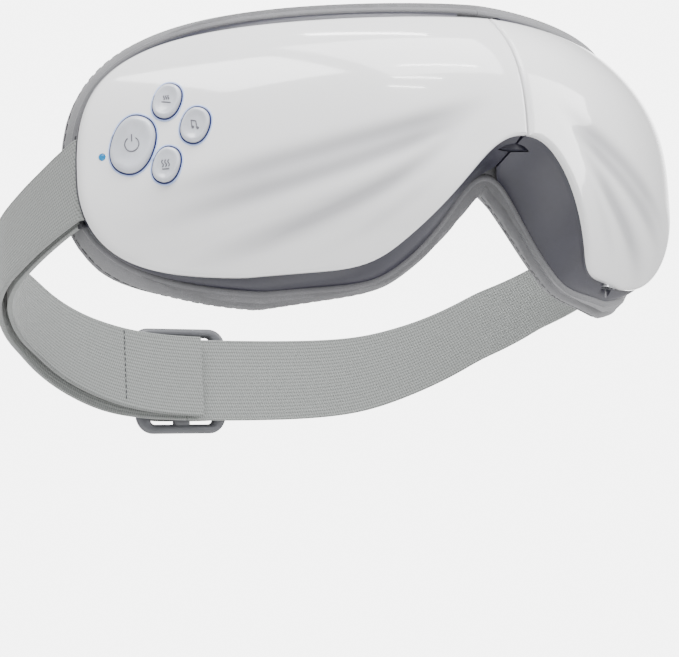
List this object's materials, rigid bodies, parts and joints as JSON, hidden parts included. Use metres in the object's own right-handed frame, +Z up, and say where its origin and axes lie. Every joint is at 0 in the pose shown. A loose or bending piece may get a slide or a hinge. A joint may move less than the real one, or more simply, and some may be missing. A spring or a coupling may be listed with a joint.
{
  "type": "eye massager mask",
  "caption": "Folding eye massager mask: two white shells on a nose hinge, soft face cushion, buttons on one half, adjustable elastic head strap with buckle.",
  "frame": {"origin": "centre of the face opening on the plane of symmetry, at eye height", "axes": "+X across the face towards the wearer's left, +Y towards the wearer's face and the back of the head, +Z up"},
  "size_m": [0.2126, 0.1808, 0.1099],
  "materials": {
    "shell_white": "gloss",
    "housing_grey": "satin",
    "button_white": "gloss",
    "status_light": "translucent, lit",
    "steel": "brushed",
    "weight_metal": "sintered",
    "motor_can": "plated",
    "crank_plastic": "moulded",
    "washer_plastic": "moulded",
    "inner_plastic": "moulded",
    "circuit_board": "solder mask",
    "battery_wrap": "shrink wrap",
    "cushion_leather": "soft synthetic leather",
    "face_cloth": "printed knit",
    "bladder_film": "thin film",
    "heater_film": "polyimide",
    "strap_webbing": "elastic webbing",
    "buckle_plastic": "satin"
  },
  "bodies": {
    "root": {"hinge_pin": "steel", "hinge_cover": "housing_grey", "hinge_washers": "washer_plastic", "bridge_cushion": "cushion_leather", "bridge_face_pad": "face_cloth", "strap_back": "strap_webbing", "right_strap_span": "strap_webbing", "left_strap_span": "strap_webbing"},
    "right_half": {"air_pump": "motor_can", "button_board": "circuit_board", "main_board": "circuit_board", "right_air_bladder": "bladder_film", "right_cushion": "cushion_leather", "right_face_pad": "face_cloth", "right_front_shell": "shell_white", "right_heater_film": "heater_film", "right_hinge_leaf": "steel", "right_housing": "housing_grey", "right_inner_frame": "inner_plastic", "right_screws": "steel", "right_speaker": "motor_can", "right_strap_anchor": "inner_plastic", "right_strap_end": "strap_webbing", "right_vibration_motor": "motor_can", "status_light": "status_light", "valve_body": "motor_can", "valve_spring": "steel"},
    "left_half": {"battery": "battery_wrap", "charging_socket": "steel", "left_air_bladder": "bladder_film", "left_cushion": "cushion_leather", "left_face_pad": "face_cloth", "left_front_shell": "shell_white", "left_heater_film": "heater_film", "left_hinge_leaf": "steel", "left_housing": "housing_grey", "left_inner_frame": "inner_plastic", "left_screws": "steel", "left_speaker": "motor_can", "left_strap_anchor": "inner_plastic", "left_strap_end": "strap_webbing", "left_vibration_motor": "motor_can"},
    "power_button": {"power_button": "button_white"},
    "pressure_button": {"pressure_button": "button_white"},
    "music_button": {"music_button": "button_white"},
    "heat_button": {"heat_button": "button_white"},
    "right_motor_weight": {"right_motor_weight": "weight_metal"},
    "left_motor_weight": {"left_motor_weight": "weight_metal"},
    "pump_crank": {"pump_crank": "crank_plastic"},
    "valve_plunger": {"valve_plunger": "steel"},
    "buckle": {"buckle_frame": "buckle_plastic", "buckle_strap": "strap_webbing"}
  },
  "joints": [
    {"name": "right_fold", "type": "hinge", "parent": "root", "child": "right_half", "pos_m": [0, -0.028, 0.018], "axis": [0, 0, -1], "range_deg": [0, 35], "deforming": ["bridge_cushion", "bridge_face_pad", "right_strap_span", "left_strap_span"]},
    {"name": "left_fold", "type": "hinge", "parent": "root", "child": "left_half", "pos_m": [0, -0.028, 0.018], "axis": [0, 0, 1], "range_deg": [0, 35]},
    {"name": "power_button_press", "type": "slide", "parent": "right_half", "child": "power_button", "axis": [0.6935, 0.7203, -0.0168], "range_m": [0, 0.0008], "stiffness_N_per_m": 400, "springref_m": -0.0004},
    {"name": "pressure_button_press", "type": "slide", "parent": "right_half", "child": "pressure_button", "axis": [0.6674, 0.7311, -0.1418], "range_m": [0, 0.0008], "stiffness_N_per_m": 400, "springref_m": -0.0004},
    {"name": "music_button_press", "type": "slide", "parent": "right_half", "child": "music_button", "axis": [0.6589, 0.7508, -0.0459], "range_m": [0, 0.0008], "stiffness_N_per_m": 400, "springref_m": -0.0004},
    {"name": "heat_button_press", "type": "slide", "parent": "right_half", "child": "heat_button", "axis": [0.6768, 0.7361, -0.0004], "range_m": [0, 0.0008], "stiffness_N_per_m": 400, "springref_m": -0.0004},
    {"name": "right_motor_spin", "type": "hinge", "parent": "right_half", "child": "right_motor_weight", "pos_m": [-0.032, -0.02549, -0.003], "axis": [0, 0, 1], "continuous": true},
    {"name": "left_motor_spin", "type": "hinge", "parent": "left_half", "child": "left_motor_weight", "pos_m": [0.032, -0.02549, -0.003], "axis": [0, 0, 1], "continuous": true},
    {"name": "pump_spin", "type": "hinge", "parent": "right_half", "child": "pump_crank", "pos_m": [-0.04937, -0.01298, -0.011], "axis": [-0.8183, 0.5749, 0], "continuous": true},
    {"name": "valve_slide", "type": "slide", "parent": "right_half", "child": "valve_plunger", "axis": [0, 0, -1], "range_m": [0, 0.0012], "stiffness_N_per_m": 150, "springref_m": -0.001, "deforming": ["valve_spring"]},
    {"name": "buckle_slide", "type": "slide", "parent": "root", "child": "buckle", "axis": [1, 0, 0], "range_m": [-0.004, 0.024]}
  ],
  "couplings": [
    {"joint": "left_fold", "follows": "right_fold", "ratio": 1}
  ]
}
